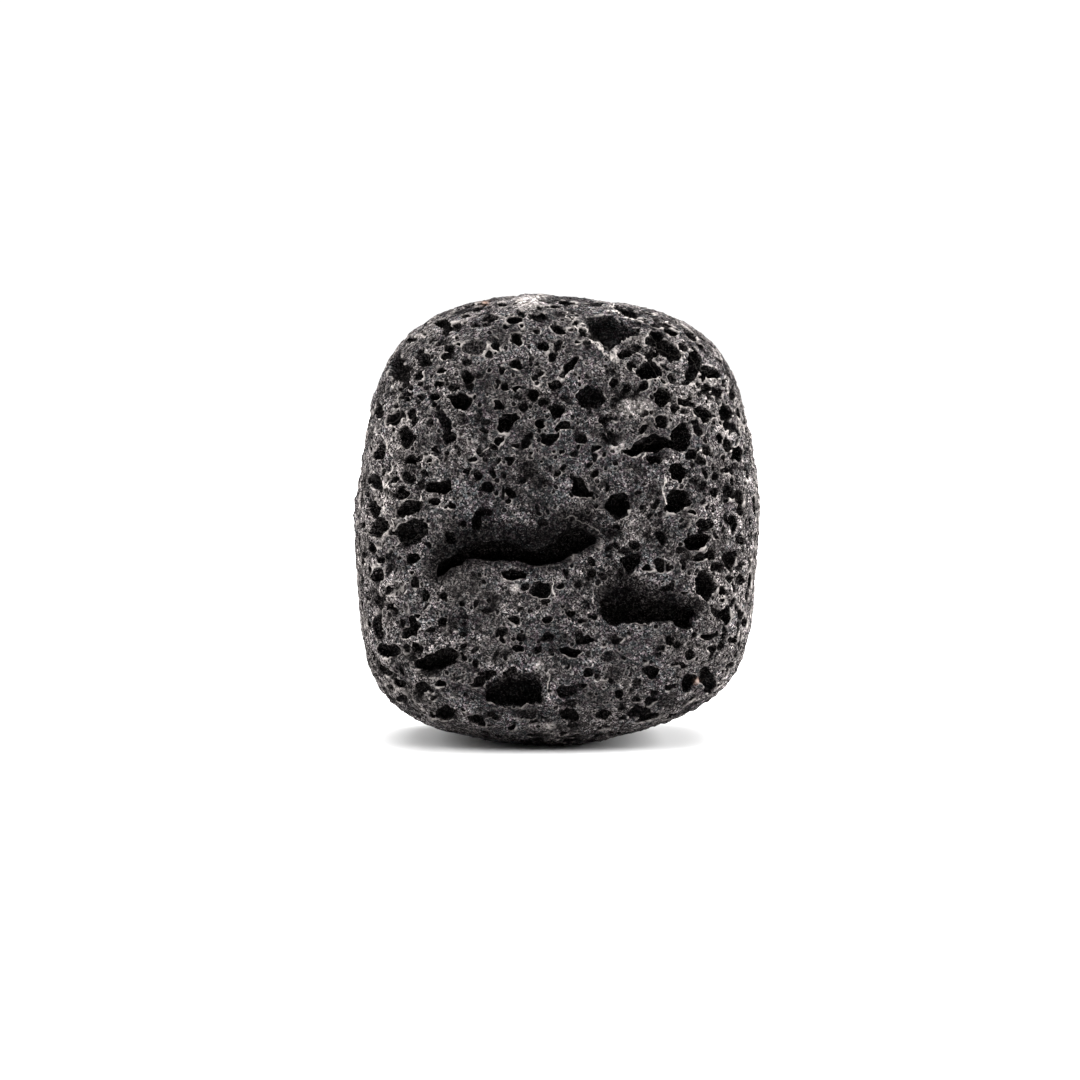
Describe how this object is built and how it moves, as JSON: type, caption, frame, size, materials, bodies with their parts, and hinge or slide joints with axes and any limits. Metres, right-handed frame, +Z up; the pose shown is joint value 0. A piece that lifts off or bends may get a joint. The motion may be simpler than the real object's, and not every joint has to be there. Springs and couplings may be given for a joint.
{
  "type": "lava rock",
  "caption": "Loose tumbled lava rock: a rounded, nearly square basalt pebble full of gas-bubble pits, with a small flat it stands on.",
  "frame": {"origin": "middle of the small flat that the stone stands on, under the middle of its box", "axes": "+Z up the stone's tallest way, +X to the right of its face, +Y from the face into the stone"},
  "size_m": [0.0403, 0.0366, 0.0441],
  "materials": {
    "lava_stone": "dry matt charcoal-grey basalt, warm grey on the rims and flanks, near black in the pits"
  },
  "bodies": {
    "root": {"lava_rock": "lava_stone"}
  },
  "joints": []
}
